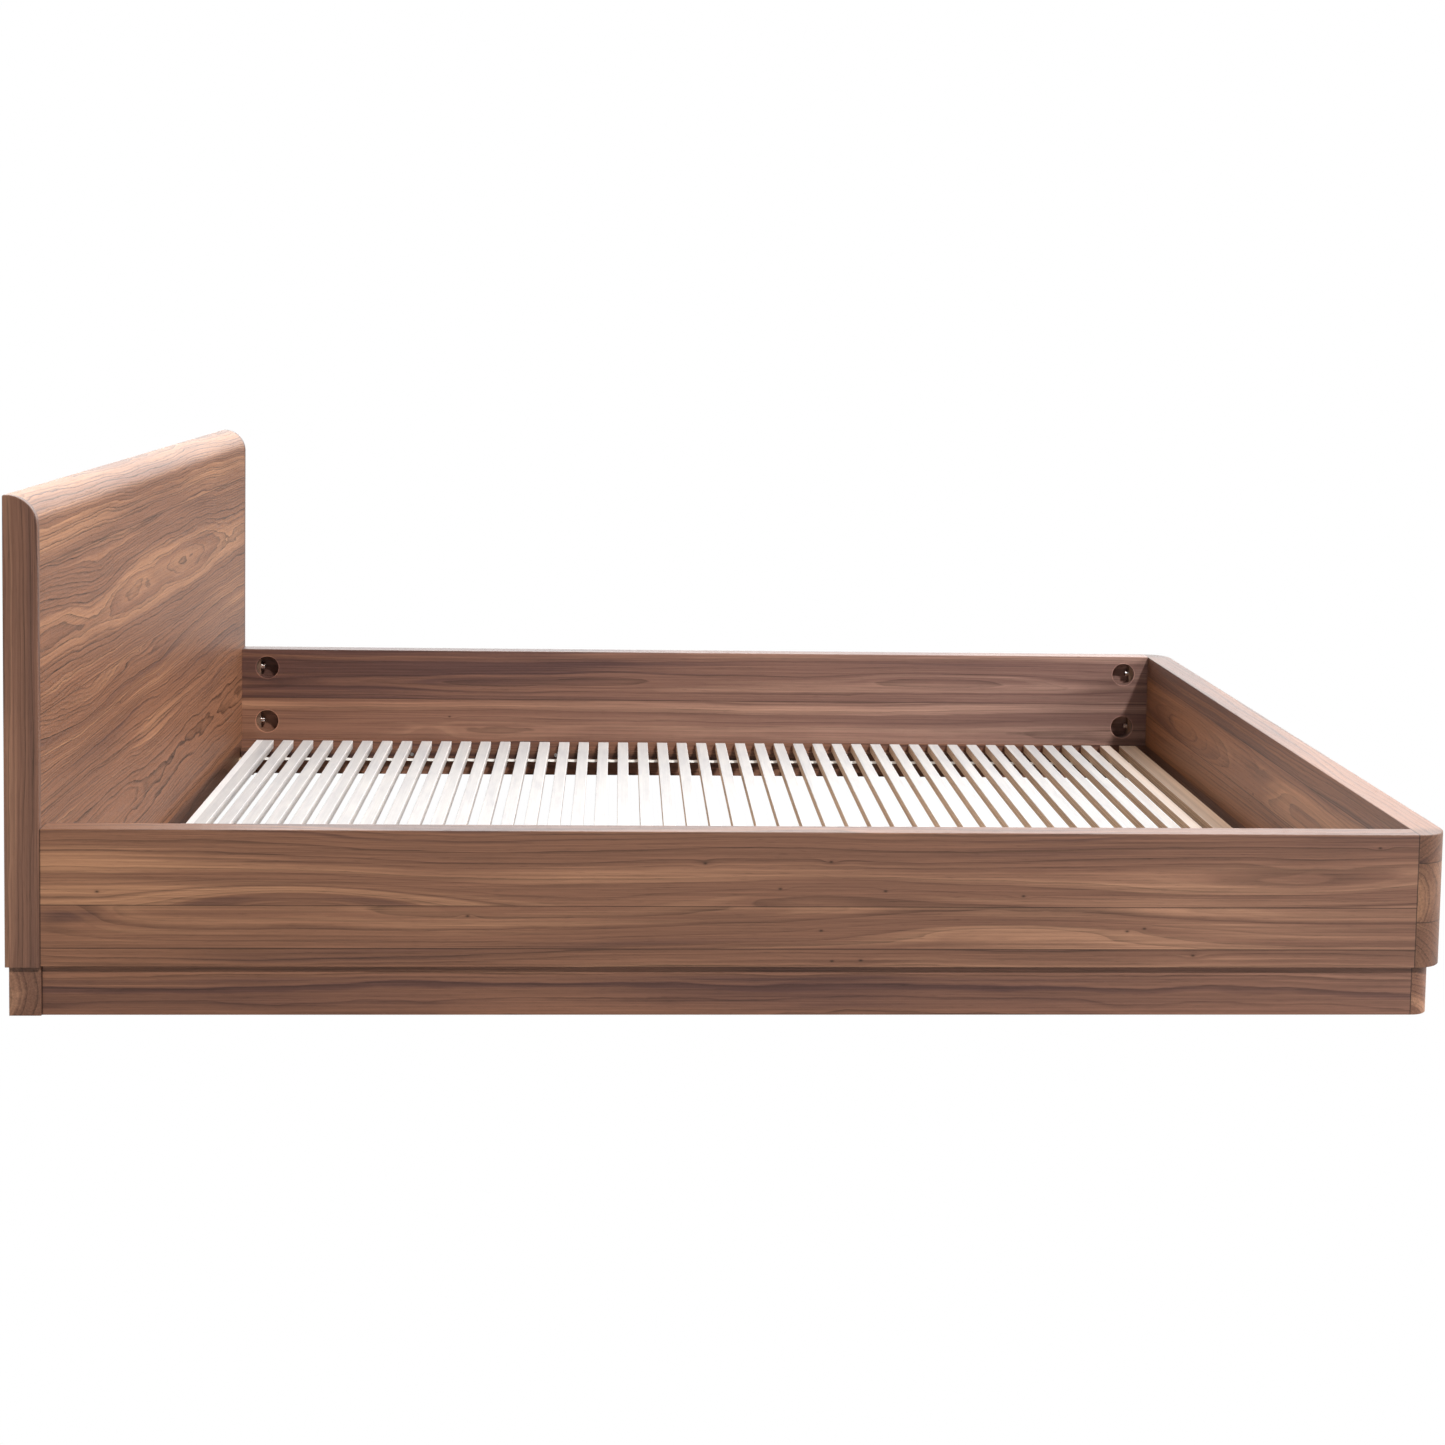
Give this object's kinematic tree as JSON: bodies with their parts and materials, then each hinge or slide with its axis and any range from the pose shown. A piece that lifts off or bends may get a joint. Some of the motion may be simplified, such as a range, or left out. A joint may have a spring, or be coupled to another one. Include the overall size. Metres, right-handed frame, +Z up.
{
  "type": "low platform bed",
  "caption": "Low walnut platform bed with a thick round-topped headboard, a low footboard, side rails on a set-back plinth, and a strapped roll of pale slats.",
  "frame": {"origin": "on the floor, under the middle of the bed's box", "axes": "+X from the head to the foot, +Y across the bed to its right side as seen from the foot, +Z up"},
  "size_m": [2.145, 1.624, 0.766],
  "materials": {
    "walnut_headboard": "oiled satin",
    "walnut_lipping": "oiled satin",
    "walnut_footboard": "oiled satin",
    "walnut_rail": "oiled satin",
    "walnut_plinth": "oiled satin",
    "pale_slat": "sanded, unfinished",
    "pine_beam": "planed",
    "beech_dowel": "fluted",
    "bright_steel": "bright plated",
    "zinc_steel": "zinc plated",
    "brass_insert": "turned",
    "cotton_webbing": "plain woven",
    "black_pad": "moulded, fine texture"
  },
  "bodies": {
    "bed_frame": {"beam_hanger_foot": "zinc_steel", "beam_hanger_head": "zinc_steel", "centre_beam": "pine_beam", "corner_block_screws": "zinc_steel", "corner_blocks": "pine_beam", "footboard_panel": "walnut_footboard", "hanger_screws": "zinc_steel", "headboard_lipping_left": "walnut_lipping", "headboard_lipping_right": "walnut_lipping", "headboard_panel": "walnut_headboard", "ledger_screws": "zinc_steel", "left_side_rail": "walnut_rail", "left_slat_ledger": "walnut_plinth", "leveller_inserts": "brass_insert", "plinth_dowels": "beech_dowel", "plinth_foot": "walnut_plinth", "plinth_head": "walnut_plinth", "plinth_left": "walnut_plinth", "plinth_right": "walnut_plinth", "rail_bolt_inserts": "brass_insert", "rail_bolt_washers": "zinc_steel", "rail_bolts": "bright_steel", "rail_dowels": "beech_dowel", "right_side_rail": "walnut_rail", "right_slat_ledger": "walnut_plinth"},
    "slat_deck": {"foot_end_slat": "pale_slat", "head_end_slat": "pale_slat", "left_slat_strap": "cotton_webbing", "right_slat_strap": "cotton_webbing", "slats_01": "pale_slat", "slats_02": "pale_slat", "slats_03": "pale_slat", "slats_04": "pale_slat", "slats_05": "pale_slat", "slats_06": "pale_slat", "slats_07": "pale_slat", "slats_08": "pale_slat", "slats_09": "pale_slat", "slats_10": "pale_slat", "slats_11": "pale_slat", "slats_12": "pale_slat", "slats_13": "pale_slat", "slats_14": "pale_slat", "slats_15": "pale_slat", "slats_16": "pale_slat", "slats_17": "pale_slat", "slats_18": "pale_slat", "slats_19": "pale_slat", "slats_20": "pale_slat", "slats_21": "pale_slat", "slats_22": "pale_slat"},
    "leveller_pad_body_1": {"leveller_pad_1": "black_pad"},
    "leveller_pad_body_2": {"leveller_pad_2": "black_pad"},
    "leveller_pad_body_3": {"leveller_pad_3": "black_pad"},
    "leveller_stem_body_1": {"leveller_stem_1": "bright_steel"},
    "leveller_stem_body_2": {"leveller_stem_2": "bright_steel"},
    "leveller_stem_body_3": {"leveller_stem_3": "bright_steel"}
  },
  "joints": [
    {"name": "slat_deck_lift", "type": "slide", "parent": "bed_frame", "child": "slat_deck", "axis": [0, 0, 1], "range_m": [0, 0.3]},
    {"name": "leveller_1_travel", "type": "slide", "parent": "bed_frame", "child": "leveller_pad_body_1", "axis": [0, 0, -1], "range_m": [-0.003, 0.012]},
    {"name": "leveller_1_spin", "type": "hinge", "parent": "leveller_pad_body_1", "child": "leveller_stem_body_1", "pos_m": [-0.6, 0, 0], "axis": [0, 0, -1], "range_deg": [-864, 3456]},
    {"name": "leveller_2_travel", "type": "slide", "parent": "bed_frame", "child": "leveller_pad_body_2", "axis": [0, 0, -1], "range_m": [-0.003, 0.012]},
    {"name": "leveller_2_spin", "type": "hinge", "parent": "leveller_pad_body_2", "child": "leveller_stem_body_2", "pos_m": [0, 0, 0], "axis": [0, 0, -1], "range_deg": [-864, 3456]},
    {"name": "leveller_3_travel", "type": "slide", "parent": "bed_frame", "child": "leveller_pad_body_3", "axis": [0, 0, -1], "range_m": [-0.003, 0.012]},
    {"name": "leveller_3_spin", "type": "hinge", "parent": "leveller_pad_body_3", "child": "leveller_stem_body_3", "pos_m": [0.6, 0, 0], "axis": [0, 0, -1], "range_deg": [-864, 3456]}
  ],
  "couplings": [
    {"joint": "leveller_1_travel", "follows": "leveller_1_spin", "m_per_rad": 0.00019894},
    {"joint": "leveller_2_travel", "follows": "leveller_2_spin", "m_per_rad": 0.00019894},
    {"joint": "leveller_3_travel", "follows": "leveller_3_spin", "m_per_rad": 0.00019894}
  ]
}
